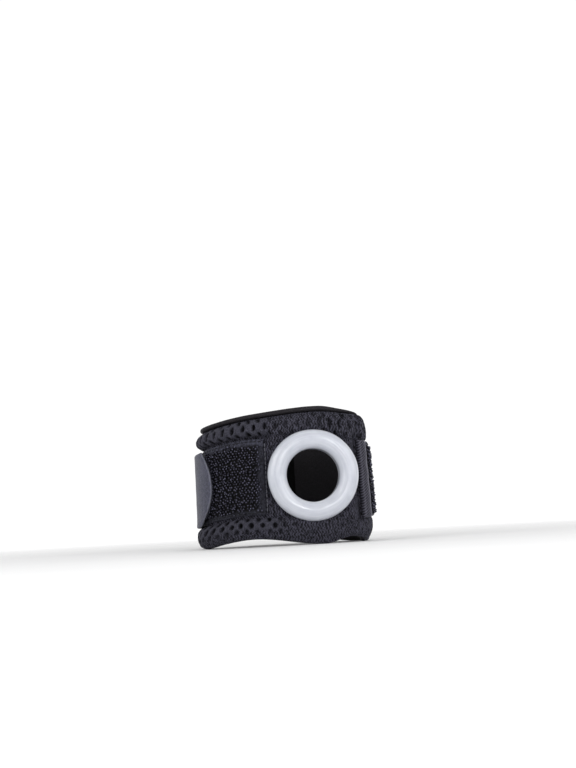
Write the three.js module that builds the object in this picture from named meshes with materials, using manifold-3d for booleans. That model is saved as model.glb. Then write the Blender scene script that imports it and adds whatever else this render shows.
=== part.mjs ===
// A wrist brace fastened into a loop: a padded mesh band on a smooth lining, a soft ring set in the band's
// front, a loop-pile panel and a loop-pile strap that lie in the band's groove, and a hook tab that closes
// the strap.
// Millimetres, +Z up along the wrist. The ring faces -Y, and the loop stands on its lower edge at z = 0.

import * as THREE from "three";
import { mergeVertices } from "three/addons/utils/BufferGeometryUtils.js";
import Module from "manifold-3d";

const wasm = await Module();
wasm.setup();

// Wrist that the brace closes round
const WRIST_HALF_WIDTH = 28.8;
const WRIST_HALF_DEPTH = 20.6;
// The wrist widens towards the forearm: how far out its skin moves for each step down from the level named
const FLARE = 0.03;
const FLARE_LEVEL = 25;
// Quarters of the wrist's section, counted from the right towards the back: 2 is an ellipse, more is squarer
const QUARTERS = [
  { side: "right_back", power: 2.3 },
  { side: "left_back", power: 2.3 },
  { side: "left_front", power: 2.3 },
  { side: "right_front", power: 2.9 },
];

// Heights round the loop. around is the share of the loop from the front's middle, positive to the right.
// top and bottom are the lining's edges, and strap is the middle of the strap's groove. rim is how far the
// lining's rolled rim rises above the mesh. rimOut and the two rolls are how far the rim and the band's
// rolled edges stand out from the skin.
const COLUMNS = ["around", "top", "bottom", "strap", "rim", "rimOut", "upperRoll", "lowerRoll"];
const PLACES = {
  left_side: [-0.23, 46.5, 0, 23.1, 2.2, 4.6, 6, 5.8],
  left_front: [-0.072, 49.1, 2.8, 25.5, 2.2, 3.2, 6, 5],
  ring: [0.08, 51, 0, 25.4, 2.2, 3, 5, 5],
  right_front: [0.14, 49.6, 2.2, 23.1, 1.6, 2.6, 5.4, 4.1],
  right_side: [0.23, 48, 0, 23.6, 0.5, 1.3, 3.6, 2.7],
  right_back: [0.34, 46.8, 0, 23.2, 2, 2.6, 4.2, 4],
  palm: [0.5, 46.4, 3.6, 23.2, 2.2, 3, 4.4, 4.4],
  left_back: [0.66, 46.6, 3.4, 23, 2.2, 3, 4.6, 4.8],
};
const EDGES = Object.values(PLACES).map((row) => Object.fromEntries(COLUMNS.map((key, k) => [key, row[k]])));

// Layers, as distances out from the skin
const GAP = 0.3;
const LINING_THICK = 1;
const MESH_INNER = LINING_THICK + GAP;
const MESH_EDGE = 2.1;
const MESH_GROOVE = 2.8;
const MESH_FREE = 4.5;
const MESH_END = 2.2;
const RIM_LIP = 0.97;

// Ends of the band on the palm side
const PALM_GAP = 5.5;
const END_TAPER = 6;
const END_BLUNT = 0.4;
const END_CORNER = 5;

// Ring, set in a hole through the band
const RING_AROUND = 9.7;
const RING_HEIGHT = 25.1;
const RING_OUTER_RADIUS = 16.8;
const RING_HOLE_RADIUS = 9.75;
const RING_COLLAR_RADIUS = 11.6;
const RING_BASE = 2.7;
const RING_MIDDLE = 4.5;
const RING_HALF_THICK = 3;
const RING_CORE_DEPTH = 16;
const COLLAR_CUT_PAST = 2.4;

// Groove and the pieces that lie in it: heights across the band and places along it
const GROOVE_HALF = 14.9;
const PANEL = { half: 14, from: -60, to: -7.3, border: 2.3, base: 0.7, pile: 1.4 };
const STRAP = { half: 14.2, from: 31.1, to: 109.2, border: 1.8, base: 0.9, pile: 1.7, endLength: 8 };
const BINDING = { half: 14.6, from: 26.5, to: 30.8, edge: 0.5, thick: 1.9 };
const TAB = { half: 14, drop: 1.1, tip: -25.5, sweepUp: 4.5, sweepDown: 5.5, from: -58, thick: 1.1 };
const TAB_STEP_DOWN = { from: 0.6, length: 3 };
const PILE_SLOPE = 0.3;
const CLIMB = 9;

// How finely each piece is divided, and shares across a roll and a bead that are closer at their edges
const RING_SIDES = 48;
const RING_STEPS = 14;
const BAND_STEPS = 66;
const BAND_END_PLACES = [0, 0.4, 1.2, 2.4];
const BAND_END_ZONE = 4;
const ROLL_SHARES = [0, 0.05, 0.2, 0.45, 0.72, 0.92];
const BEAD_SHARES = [0, 0.04, 0.16, 0.38, 0.62, 0.84, 0.96, 1];
const PANEL_STEPS = 26;
const STRAP_STEPS = 42;
const BINDING_ROWS = 8;
const TAB_STEPS = 20;
const TAB_ROWS = 10;
const CLOSE = 1e-6;
const MERGE_WITHIN = 1e-4;

const smooth = (t) => {
  const clamped = Math.min(1, Math.max(0, t));
  return clamped * clamped * (3 - 2 * clamped);
};
const mix = (a, b, t) => a + (b - a) * t;

// Skin line of the wrist as a table of points by arc length, from the front's middle towards the right
function wristSection(samples = 2880) {
  const points = [];
  for (let i = 0; i <= samples; i++) {
    const angle = ((i / samples) * 2 - 0.5) * Math.PI;
    const turn = (angle + 2 * Math.PI) % (2 * Math.PI);
    const { power } = QUARTERS[Math.min(3, Math.floor(turn / (Math.PI / 2)))];
    const rounded = (value) => Math.sign(value) * Math.abs(value) ** (2 / power);
    const x = WRIST_HALF_WIDTH * rounded(Math.cos(angle));
    const y = WRIST_HALF_DEPTH * rounded(Math.sin(angle));
    points.push(new THREE.Vector2(x, y));
  }
  const lengths = [0];
  for (let i = 1; i <= samples; i++) {
    lengths.push(lengths[i - 1] + points[i].distanceTo(points[i - 1]));
  }
  return { points, lengths, total: lengths[samples] };
}
const SECTION = wristSection();
const LOOP = SECTION.total;
const HALF_LOOP = LOOP / 2;

function skinPoint(along) {
  const s = ((along % LOOP) + LOOP) % LOOP;
  let low = 0;
  let high = SECTION.lengths.length - 1;
  while (high - low > 1) {
    const middle = (low + high) >> 1;
    if (SECTION.lengths[middle] <= s) low = middle;
    else high = middle;
  }
  const t = (s - SECTION.lengths[low]) / (SECTION.lengths[high] - SECTION.lengths[low]);
  return SECTION.points[low].clone().lerp(SECTION.points[high], t);
}

function skinNormal(along) {
  const reach = 0.6;
  const tangent = skinPoint(along + reach).sub(skinPoint(along - reach)).normalize();
  return new THREE.Vector2(tangent.y, -tangent.x);
}

// A point of the brace: along the loop, out from the skin, and up the wrist
function spot(along, out, up) {
  const flared = out + FLARE * (FLARE_LEVEL - up);
  const p = skinPoint(along).addScaledVector(skinNormal(along), flared);
  return new THREE.Vector3(p.x, p.y, up);
}

const edgeRow = (i) => EDGES[(i + EDGES.length) % EDGES.length];
const widthAfter = (i) => (edgeRow(i + 1).around - edgeRow(i).around + 1) % 1;
const steepness = (column, i) => (edgeRow(i + 1)[column] - edgeRow(i)[column]) / widthAfter(i);

// Slope of a column's line at a row, level at its highs and lows
function slopeAt(column, i) {
  const before = steepness(column, i - 1);
  const after = steepness(column, i);
  return before * after > 0 ? (2 * before * after) / (before + after) : 0;
}

// A column of EDGES at a place along the loop, on a smooth line through the rows
function edgeHeight(column, along) {
  const past = EDGES.map(({ around }) => (((along / LOOP - around) % 1) + 1) % 1);
  const i = past.indexOf(Math.min(...past));
  const width = widthAfter(i);
  const t = past[i] / width;
  const lean = slopeAt(column, i) * (1 - t) - slopeAt(column, i + 1) * t;
  return mix(edgeRow(i)[column], edgeRow(i + 1)[column], smooth(t)) + width * t * (1 - t) * lean;
}

// Distance along the band from the nearer of its two ends on the palm side
function fromEnd(along) {
  const s = (((along + HALF_LOOP) % LOOP) + LOOP) % LOOP;
  return Math.min(s, LOOP - s) - PALM_GAP / 2;
}

// How far a rounded corner at the band's end draws the edge in
function cornerDrop(along) {
  const left = Math.max(0, END_CORNER - Math.max(0, fromEnd(along)));
  return END_CORNER - Math.sqrt(END_CORNER ** 2 - left ** 2);
}

const liningTop = (along) => edgeHeight("top", along) - cornerDrop(along);
const bottomEdge = (along) => edgeHeight("bottom", along) + cornerDrop(along);
const grooveMiddle = (along) => edgeHeight("strap", along);
const rimHeight = (along) => edgeHeight("rim", along);
const meshTop = (along) => liningTop(along) - rimHeight(along);

// 1 where a strap, panel or binding presses the band flat, 0 where the band is free beside the ring
function pressed(along) {
  const reach = 5;
  const shifted = ((((along - PANEL.to) % LOOP) + LOOP) % LOOP) / reach;
  const left = 1 - smooth(shifted);
  const right = smooth((shifted * reach - (BINDING.from - PANEL.to) + reach) / reach);
  return Math.max(left, right);
}
const grooveOut = (along) => mix(MESH_FREE, MESH_GROOVE, pressed(along));

// 1 along the band, falling to 0 at its two ends
const endTaper = (along) => Math.sqrt(smooth((fromEnd(along) + END_BLUNT) / END_TAPER));

// Closed solid between an inner and an outer sheet over a grid. place gives {along, up} at shares c and r.
function slab({ columns, rows, place, inner, outer }) {
  const nc = columns.length;
  const nr = rows.length;
  const positions = [];
  for (const sheet of [inner, outer]) {
    for (const c of columns) {
      for (const r of rows) {
        const { along, up } = place(c, r);
        positions.push(...spot(along, sheet(along, up, c, r), up).toArray());
      }
    }
  }
  const at = (sheet, i, j) => sheet * nc * nr + i * nr + j;
  const faces = [];
  const quad = (a, b, c, d) => faces.push(a, b, c, a, c, d);
  for (let i = 0; i + 1 < nc; i++) {
    for (let j = 0; j + 1 < nr; j++) {
      quad(at(1, i, j), at(1, i + 1, j), at(1, i + 1, j + 1), at(1, i, j + 1));
      quad(at(0, i, j), at(0, i, j + 1), at(0, i + 1, j + 1), at(0, i + 1, j));
    }
    quad(at(0, i, 0), at(0, i + 1, 0), at(1, i + 1, 0), at(1, i, 0));
    quad(at(0, i, nr - 1), at(1, i, nr - 1), at(1, i + 1, nr - 1), at(0, i + 1, nr - 1));
  }
  for (let j = 0; j + 1 < nr; j++) {
    quad(at(0, 0, j), at(1, 0, j), at(1, 0, j + 1), at(0, 0, j + 1));
    quad(at(0, nc - 1, j), at(0, nc - 1, j + 1), at(1, nc - 1, j + 1), at(1, nc - 1, j));
  }
  const geometry = new THREE.BufferGeometry();
  geometry.setAttribute("position", new THREE.Float32BufferAttribute(positions, 3));
  geometry.setIndex(faces);
  return geometry;
}

// Even shares from 0 to 1
const even = (steps) => Array.from({ length: steps + 1 }, (_, i) => i / steps);

function solidOf(geometry) {
  const bare = geometry.clone();
  bare.deleteAttribute("normal");
  bare.deleteAttribute("uv");
  const merged = mergeVertices(bare, MERGE_WITHIN);
  return new wasm.Manifold(
    new wasm.Mesh({
      numProp: 3,
      vertProperties: new Float32Array(merged.attributes.position.array),
      triVerts: new Uint32Array(merged.index.array),
    }),
  );
}

function geometryOf(solid) {
  const { vertProperties, triVerts } = solid.getMesh();
  const geometry = new THREE.BufferGeometry();
  geometry.setAttribute("position", new THREE.BufferAttribute(vertProperties, 3));
  geometry.setIndex(new THREE.BufferAttribute(triVerts, 1));
  return geometry;
}

// Ring: an oval section on a collar that lines the hole through the band, turned about its own axis.
// grow gives the room round it for the hole.
function ringGeometry(grow = 0) {
  const middleRadius = (RING_OUTER_RADIUS + RING_HOLE_RADIUS) / 2;
  const halfWidth = (RING_OUTER_RADIUS - RING_HOLE_RADIUS) / 2 + grow;
  const halfThick = RING_HALF_THICK + grow;
  const base = RING_BASE - grow;
  const collarEnd = grow > 0 ? -COLLAR_CUT_PAST : 0;
  const collarRadius = RING_COLLAR_RADIUS + grow;
  const drop = Math.asin((RING_MIDDLE - base) / halfThick);
  const profile = [
    new THREE.Vector2(middleRadius - halfWidth, collarEnd),
    new THREE.Vector2(collarRadius, collarEnd),
    new THREE.Vector2(collarRadius, base),
  ];
  for (let i = 0; i <= RING_STEPS; i++) {
    const angle = mix(-drop, Math.PI, i / RING_STEPS);
    const radius = middleRadius + halfWidth * Math.cos(angle);
    profile.push(new THREE.Vector2(radius, RING_MIDDLE + halfThick * Math.sin(angle)));
  }
  profile.push(profile[0].clone());
  return new THREE.LatheGeometry(profile, RING_SIDES);
}

// Turns a piece made about +Y so that +Y points out of the skin at the ring
function ringPlace(object) {
  const normal = skinNormal(RING_AROUND);
  const outward = new THREE.Vector3(normal.x, normal.y, 0);
  object.position.copy(spot(RING_AROUND, 0, RING_HEIGHT));
  object.quaternion.setFromUnitVectors(new THREE.Vector3(0, 1, 0), outward);
  object.updateMatrix();
  return object;
}

function ringHole() {
  const cutter = ringPlace(new THREE.Object3D());
  return solidOf(ringGeometry(GAP).applyMatrix4(cutter.matrix));
}

// Plug that fills the ring's own hole, so that the cut through the band leaves no core
function ringCore() {
  const radius = RING_COLLAR_RADIUS;
  const core = new THREE.CylinderGeometry(radius, radius, RING_CORE_DEPTH, RING_SIDES);
  return solidOf(core.applyMatrix4(ringPlace(new THREE.Object3D()).matrix));
}

// Shares along the band, closer together at its rounded ends
const BAND_LENGTH = LOOP - PALM_GAP;
const endZone = BAND_END_ZONE / BAND_LENGTH;
const endColumns = BAND_END_PLACES.map((length) => length / BAND_LENGTH);
const innerColumns = even(BAND_STEPS).map((c) => mix(endZone, 1 - endZone, c));
const bandColumns = [...endColumns, ...innerColumns, ...endColumns.map((c) => 1 - c).reverse()];
const bandAlong = (c) => (c - 0.5) * BAND_LENGTH;

// Rows up the lining: its wall from the hem, and the rolled rim above the mesh by its share of the way down
const LINING_ROWS = [
  { hem: true, rolled: false },
  { down: 1, rolled: false },
  { down: RIM_LIP, rolled: true },
  { down: 0, rolled: true },
];

function liningGeometry() {
  const wall = slab({
    columns: bandColumns,
    rows: LINING_ROWS,
    place: (c, { hem, down }) => {
      const along = bandAlong(c);
      return { along, up: hem ? bottomEdge(along) : liningTop(along) - down * (rimHeight(along) - GAP) };
    },
    inner: () => 0,
    outer: (along, up, c, { rolled }) => {
      return rolled ? mix(LINING_THICK, edgeHeight("rimOut", along), endTaper(along)) : LINING_THICK;
    },
  });
  return geometryOf(solidOf(wall).subtract(ringCore().add(ringHole())));
}

// Rolled edge of the band: out is MESH_EDGE at the edge, crest at the roll and groove where the strap lies
function puffOut(share, crest, groove) {
  const base = mix(MESH_EDGE, groove, share);
  const bulge = crest - (MESH_EDGE + groove) / 2;
  return base + bulge * Math.sqrt(Math.max(0, 4 * share * (1 - share)));
}

// Rows up the band: the lower roll, the groove and the upper roll, each by its share of the way
const MESH_ROWS = [
  ...ROLL_SHARES.map((share) => ({ zone: "lower", share })),
  ...even(2).map((share) => ({ zone: "groove", share })),
  ...ROLL_SHARES.map((share) => ({ zone: "upper", share })).reverse(),
];

function meshUp(along, { zone, share }) {
  const middle = grooveMiddle(along);
  if (zone === "lower") return mix(bottomEdge(along), middle - GROOVE_HALF, share);
  if (zone === "upper") return mix(meshTop(along), middle + GROOVE_HALF, share);
  return mix(middle - GROOVE_HALF, middle + GROOVE_HALF, share);
}

function meshOut(along, { zone, share }) {
  const groove = grooveOut(along);
  const full = zone === "groove" ? groove : puffOut(share, edgeHeight(`${zone}Roll`, along), groove);
  return mix(MESH_END, full, endTaper(along));
}

function meshBandGeometry() {
  const wall = slab({
    columns: bandColumns,
    rows: MESH_ROWS,
    place: (c, row) => {
      const along = bandAlong(c);
      return { along, up: meshUp(along, row) };
    },
    inner: () => MESH_INNER,
    outer: (along, up, c, row) => meshOut(along, row),
  });
  return geometryOf(solidOf(wall).subtract(ringCore().add(ringHole())));
}

// Shares across a tape: its two plain borders and the raised pile between them
function tapeRows(half, border) {
  const edge = border / (2 * half);
  const slope = PILE_SLOPE / (2 * half);
  return [0, edge, edge + slope, 0.5, 1 - edge - slope, 1 - edge, 1];
}

function tapeThick(tape, r, bareEnd) {
  const edge = tape.border / (2 * tape.half);
  const onPile = r > edge + CLOSE && r < 1 - edge - CLOSE && !bareEnd;
  return onPile ? tape.pile : tape.base;
}

const acrossTape = (half, along, r) => grooveMiddle(along) + mix(-half, half, r);

function panelGeometry() {
  const stretch = PANEL.to - PANEL.from;
  const bare = PANEL.border / stretch;
  const pileColumns = even(PANEL_STEPS).map((c) => c * (1 - bare));
  const bareFrom = PANEL.to - PANEL.border;
  return slab({
    columns: [...pileColumns, 1 - bare + PILE_SLOPE / stretch, 1],
    rows: tapeRows(PANEL.half, PANEL.border),
    place: (c, r) => {
      const along = mix(PANEL.from, PANEL.to, c);
      return { along, up: acrossTape(PANEL.half, along, r) };
    },
    inner: (along) => grooveOut(along) + GAP,
    outer: (along, up, c, r) => grooveOut(along) + GAP + tapeThick(PANEL, r, along > bareFrom + CLOSE),
  });
}

// The strap runs round the back on the band, then climbs on the panel's far end
const panelTop = (along) => grooveOut(along) + GAP + PANEL.pile;
function strapInner(along) {
  const climbed = smooth((along - (LOOP + PANEL.from - CLIMB)) / (CLIMB - 1));
  return mix(grooveOut(along) + GAP, panelTop(along) + GAP, climbed);
}

function strapGeometry() {
  const stretch = STRAP.to - STRAP.from;
  const bare = STRAP.endLength / stretch;
  const pileColumns = even(STRAP_STEPS).map((c) => c * (1 - bare));
  const bareFrom = STRAP.to - STRAP.endLength;
  return slab({
    columns: [...pileColumns, 1 - bare + PILE_SLOPE / stretch, 1 - bare / 2, 1],
    rows: tapeRows(STRAP.half, STRAP.border),
    place: (c, r) => {
      const along = mix(STRAP.from, STRAP.to, c);
      return { along, up: acrossTape(STRAP.half, along, r) };
    },
    inner: strapInner,
    outer: (along, up, c, r) => strapInner(along) + tapeThick(STRAP, r, along > bareFrom + CLOSE),
  });
}

// Folded tape over the strap's sewn end: a half-round bead
function bindingGeometry() {
  return slab({
    columns: BEAD_SHARES,
    rows: even(BINDING_ROWS),
    place: (c, r) => {
      const along = mix(BINDING.from, BINDING.to, c);
      return { along, up: acrossTape(BINDING.half, along, r) };
    },
    inner: (along) => grooveOut(along) + GAP,
    outer: (along, up, c) => {
      const bead = Math.sqrt(Math.max(0, 4 * c * (1 - c)));
      return grooveOut(along) + GAP + mix(BINDING.edge, BINDING.thick, bead);
    },
  });
}

// Hook tab: its far end lies on the strap's bare end, and its round tip lies on the panel
function tabGeometry() {
  const strapEnd = STRAP.to - LOOP;
  const lift = STRAP.base + GAP;
  const inner = (along) => {
    const onStrap = 1 - smooth((along - strapEnd - TAB_STEP_DOWN.from) / TAB_STEP_DOWN.length);
    return panelTop(along) + GAP + lift * onStrap;
  };
  return slab({
    columns: even(TAB_STEPS),
    rows: even(TAB_ROWS),
    place: (c, r) => {
      const across = 2 * r - 1;
      const sweep = across > 0 ? TAB.sweepUp : TAB.sweepDown;
      const tip = TAB.tip - sweep * across * across;
      const along = mix(TAB.from, tip, c);
      return { along, up: acrossTape(TAB.half, along, r) - TAB.drop };
    },
    inner,
    outer: (along) => inner(along) + TAB.thick,
  });
}

const cloth = (color, roughness) => new THREE.MeshStandardMaterial({ color, roughness, metalness: 0 });
const MESH_CLOTH = cloth(0x24242b, 0.9);
const LINING_CLOTH = cloth(0x201f22, 0.85);
const PILE_CLOTH = cloth(0x141418, 0.95);
const TAPE_CLOTH = cloth(0x2e2d34, 0.8);
const TAB_CLOTH = cloth(0x5b5c67, 0.7);
const RING_SILICONE = cloth(0xd2d5de, 0.35);

function piece(name, geometry, material) {
  const mesh = new THREE.Mesh(geometry, material);
  mesh.name = name;
  return mesh;
}

const loop = new THREE.Group();
loop.add(
  piece("lining", liningGeometry(), LINING_CLOTH),
  piece("mesh_band", meshBandGeometry(), MESH_CLOTH),
  ringPlace(piece("ring", ringGeometry(), RING_SILICONE)),
  piece("loop_panel", panelGeometry(), PILE_CLOTH),
  piece("strap", strapGeometry(), PILE_CLOTH),
  piece("strap_binding", bindingGeometry(), TAPE_CLOTH),
  piece("hook_tab", tabGeometry(), TAB_CLOTH),
);

// Origin under the middle of the loop's box, on the surface that it stands on
const box = new THREE.Box3().setFromObject(loop);
const centre = box.getCenter(new THREE.Vector3());
loop.position.set(-centre.x, -centre.y, -box.min.z);

const brace = new THREE.Group();
brace.add(loop);

export default brace;
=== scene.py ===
"""Looks of the wrist brace: mesh cover, lining, soft ring, loop-pile tapes, hook tab and stitching.

The brace is laid out by three lengths in millimetres: along the loop from the front's middle, out from the
skin, and up the wrist. They follow the same tables as the part's source, and spot() turns them into metres.
"""

import bpy
import numpy as np
from mathutils import Matrix, Vector


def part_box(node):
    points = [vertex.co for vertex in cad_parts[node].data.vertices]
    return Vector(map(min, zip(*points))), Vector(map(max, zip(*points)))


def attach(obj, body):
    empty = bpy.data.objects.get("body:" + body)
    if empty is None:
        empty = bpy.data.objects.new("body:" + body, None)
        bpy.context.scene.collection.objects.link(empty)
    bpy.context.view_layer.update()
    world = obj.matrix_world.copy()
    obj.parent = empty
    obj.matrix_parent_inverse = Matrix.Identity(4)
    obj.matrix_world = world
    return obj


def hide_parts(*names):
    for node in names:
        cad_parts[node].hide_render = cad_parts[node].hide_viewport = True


MM = 0.001
SEED = 7

# Wrist that the brace closes round, with the power of each quarter of its section from the right to the back
HALF_WIDTH = 28.8
HALF_DEPTH = 20.6
QUARTER_POWERS = (2.3, 2.3, 2.3, 2.9)
FLARE = 0.03
FLARE_LEVEL = 25

# Heights and rolls round the loop, by share of the loop from the front's middle
EDGE_COLUMNS = ("around", "top", "bottom", "strap", "rim", "rim_out", "upper_roll", "lower_roll")
EDGES = (
    (-0.23, 46.5, 0, 23.1, 2.2, 4.6, 6, 5.8),
    (-0.072, 49.1, 2.8, 25.5, 2.2, 3.2, 6, 5),
    (0.08, 51, 0, 25.4, 2.2, 3, 5, 5),
    (0.14, 49.6, 2.2, 23.1, 1.6, 2.6, 5.4, 4.1),
    (0.23, 48, 0, 23.6, 0.5, 1.3, 3.6, 2.7),
    (0.34, 46.8, 0, 23.2, 2, 2.6, 4.2, 4),
    (0.5, 46.4, 3.6, 23.2, 2.2, 3, 4.4, 4.4),
    (0.66, 46.6, 3.4, 23, 2.2, 3, 4.6, 4.8),
)

# Layers, as distances out from the skin
GAP = 0.3
LINING_THICK = 1
MESH_INNER = 1.3
MESH_EDGE = 2.1
MESH_GROOVE = 2.8
MESH_FREE = 4.5
MESH_END = 2.2
GROOVE_EASE = 5
RIM_LIP = 0.97
LINING_RIPPLE = 0.08

# Ends of the band on the palm side, with places that divide it more closely there
PALM_GAP = 5.5
END_TAPER = 6
END_BLUNT = 0.4
END_CORNER = 5
END_ZONE = 4
END_PLACES = (0, 0.15, 0.4, 0.8, 1.4, 2.2, 3.2)

# Curl of the lower edge at the right corner
TUCK_AROUND = 36
TUCK_REACH = 9
TUCK_HEIGHT = 5
TUCK_DEPTH = 2.4

# Ring
RING_AROUND = 9.7
RING_HEIGHT = 25.1
RING_OUTER = 16.8
RING_HOLE = 9.75
RING_COLLAR = 11.6
RING_BASE = 2.7
RING_MIDDLE = 4.5
RING_HALF_THICK = 3
COLLAR_ROUND = 0.3
RING_SIDES = 160
SEAT_DEPTH = 0.8
SEAT_HALF_WIDTH = 1.1

# Tapes in the groove
GROOVE_HALF = 14.9
PANEL = {"half": 14, "from": -60, "to": -7.3, "border": 2.3, "lower_border": 1.5, "base": 0.75, "pile": 1.4}
STRAP = {"half": 14.2, "from": 31.1, "to": 109.2, "border": 1.8, "lower_border": 1.8, "base": 0.9, "bare": 8}
BINDING = {"half": 14.6, "from": 26.5, "to": 30.8, "thick": 1.9}
TAB = {"half": 14, "drop": 1.1, "from": -58, "tip": -25.5, "thick": 1.1}
TAB_SWEEP_UP = 4.5
TAB_SWEEP_DOWN = 5.5
TAB_SLANT = 0.035
TAB_TIP_LIFT = 0.7
TAB_STEP_DOWN = {"from": 0.6, "length": 3}
PRESSED_PILE = 0.55
CLIMB = 9

# Mesh holes: distances between them along and across the band, and their half sizes in the two rolls
HOLE_PITCH = 4.05
HOLE_ROW = {"upper": 3, "lower": 2.4}
HOLE_FIRST_ROW = {"upper": 2.4, "lower": 2.2}
HOLE_HALF_WIDE = {"upper": 0.72, "lower": 0.85}
HOLE_HALF_TALL = {"upper": 1.4, "lower": 1.05}
HOLE_LEAN = {"even": 0.3, "odd": -0.14}
HOLE_LOWER_LEAN = 0.5
HOLE_SIZES = (0.78, 1.15)
HOLE_SHIFT = 0.25
HOLE_DEPTH = 1.6
HOLE_CROWN = 0.14

# Where the ring and the strap's end press the mesh, as places along the loop, and how far they shut its holes
PRESS_FROM = {"upper": -10, "lower": -6}
PRESS_EASE_IN = 9
PRESS_TO = 32
PRESS_EASE_OUT = 8
SHUT_LOWER = 0.85
SHUT_UPPER = (0.62, 0.35)
SHUT_IN_GROOVE = 0.75
OPEN_AT_HEM = 0.25
LEAST_OPEN = 0.06

# Creases in the band: ripples under the ring, and pinches by their place, half width and height
RIPPLE_HEIGHT = 0.16
RIPPLE_PITCH = 2.3
PINCHES = ((28.4, 1.0, 0.45), (26.4, 0.8, -1.1), (31.4, 0.7, -0.6))
CREASE_DEPTH = 0.7
CREASE_HALF_WIDTH = 0.6

# Loop pile
LOOP_SPACING = 1.07
LOOP_JITTER = 0.22
LOOP_LEAN = 0.4
LOOP_RADIUS = 0.28
LOOP_HEIGHT = {"loop_panel": 2.2, "strap": 2.6}
LOOP_FOOT_TURN = 0.35
LOOP_SEGMENTS = 9
LOOP_SIDES = 5
THREAD_RADIUS = 0.22
PILE_FADE = 1.6

# Stitches
STITCH_BOW = 0.24
STITCH_SIDES = 6
STITCH_WIDTHS = (0.55, 0.9, 1, 1, 0.9, 0.55)
SEAM_STEP = 1.5
SEAM_INSET = 0.9
SEAM_LIFT = 0.05
END_SEAM = {"half": 13, "step": 1.7, "past": 0.4, "lift": 0.35}
ZIGZAG = {"half": 13.5, "step": 0.75, "inset": 2.4, "width": 1.1, "lift": 0.08}

# Colours, in pairs from dark to light where a material has two
# Painted shade: near black for the depths of the mesh's holes, the crease by the binding and the tape ground
# under the pile
HOLE_BLACK = (0.0012, 0.0012, 0.0016)
WHITE = (1, 1, 1, 1)
CLOTH_SHEEN = (0.62, 0.62, 0.76, 1)
MESH_SHEEN = (0.6, 0.6, 0.8, 1)
TAPE_SHEEN = (0.62, 0.62, 0.8, 1)
MESH_YARN = ((0.022, 0.0216, 0.029), (0.066, 0.065, 0.088))
MESH_KNIT = ((0.003, 0.003, 0.0046), (0.055, 0.0535, 0.074))
LINING_KNIT = ((0.012, 0.011, 0.0128), (0.036, 0.033, 0.039))
TAPE_GROUND = ((0.0094, 0.0094, 0.0142), (0.053, 0.054, 0.077))
TWILL_RIBS = ((0.008, 0.0078, 0.011), (0.068, 0.066, 0.088))
# Painted highlight along the binding's fold
TWILL_HIGHLIGHT = ((0.06, 0.0585, 0.076), (0.165, 0.16, 0.2))
# Pile from painted shade at the hoops' feet to a painted highlight on their tops
PILE_SHADE_TO_HIGHLIGHT = ((0.001, 0.001, 0.0024), (0.15, 0.148, 0.212))
TAB_FIBRES = ((0.017, 0.018, 0.034), (0.063, 0.065, 0.105))
TAB_PATCHES = (0.03, 0.0315, 0.053)
# Pale tab edge: frayed felt fibres, and a painted highlight where the rounded edge catches the light
TAB_EDGE_FIBRES_AND_HIGHLIGHT = (0.135, 0.138, 0.175)
SILICONE = ((0.465, 0.483, 0.541), (0.518, 0.538, 0.589))
SILICONE_STREAKS = (0.585, 0.602, 0.645)
DARK_THREAD = ((0.008, 0.008, 0.01), (0.03, 0.03, 0.036))
PALE_THREAD = ((0.1, 0.1, 0.12), (0.22, 0.22, 0.26))
FLOOR_PAPER = ((0.86, 0.86, 0.865), (0.9, 0.9, 0.9))

# Soft studio lamps as name, place in metres, width, height and power, and the place that they point at
LAMPS = (
    ("right", (0.7, -0.55, 0.34), 0.7, 0.6, 3.4),
    ("left", (-0.7, -0.55, 0.34), 0.7, 0.6, 3.4),
    ("top", (0.05, -0.1, 0.9), 0.5, 0.5, 0.4),
    ("front_right", (0.21, -0.61, 0.17), 0.08, 0.3, 0.5),
    ("front_left", (0.05, -0.64, 0.19), 0.08, 0.3, 0.45),
)
LAMP_AIM = (0, 0, 0.025)

# Camera, in millimetres, degrees and pixels of a picture 768 high
CAMERA_PLACE = (1.83, -380, 6)
CAMERA_PITCH = 8.48
CAMERA_YAW = 0.235
CAMERA_ROLL = -3.16
CAMERA_FOCAL_PIXELS = 971.4
PICTURE_HEIGHT = 768
SENSOR = 36

UP = np.array([0, 0, 1.0])


def smooth(t):
    t = np.clip(t, 0, 1)
    return t * t * (3 - 2 * t)


def mix(a, b, t):
    return a + (b - a) * t


def ramp(place, start, length):
    """0 before a start and 1 from a length past it, with a smooth climb between."""
    return smooth((place - start) / length)


def hump(place, middle, half_width):
    """1 at a middle, falling to 0 on both sides of it."""
    return np.exp(-(((place - middle) / half_width) ** 2))


def path_length(x, y):
    """Lengths along a line of points, from its start."""
    return np.concatenate([[0], np.cumsum(np.hypot(np.diff(x), np.diff(y)))])


def wrist_section(samples=2880):
    """Skin line as x and y by arc length from the front's middle towards the right."""
    angle = (np.arange(samples + 1) / samples * 2 - 0.5) * np.pi
    quarter = np.minimum(3, (angle % (2 * np.pi)) // (np.pi / 2)).astype(int)
    power = 2 / np.array(QUARTER_POWERS)[quarter]
    x = HALF_WIDTH * np.sign(np.cos(angle)) * np.abs(np.cos(angle)) ** power
    y = HALF_DEPTH * np.sign(np.sin(angle)) * np.abs(np.sin(angle)) ** power
    return x, y, path_length(x, y)


SECTION_X, SECTION_Y, SECTION_LENGTH = wrist_section()
LOOP = SECTION_LENGTH[-1]
HALF_LOOP = LOOP / 2


def skin_point(along):
    s = along % LOOP
    return np.stack([np.interp(s, SECTION_LENGTH, SECTION_X), np.interp(s, SECTION_LENGTH, SECTION_Y)], -1)


def skin_normal(along, reach=0.6):
    tangent = skin_point(along + reach) - skin_point(along - reach)
    tangent = tangent / np.linalg.norm(tangent, axis=-1, keepdims=True)
    return np.stack([tangent[..., 1], -tangent[..., 0]], -1)


def out_direction(along):
    """Directions out of the skin, in space."""
    flat = skin_normal(along)
    return np.concatenate([flat, np.zeros((*flat.shape[:-1], 1))], -1)


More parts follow.
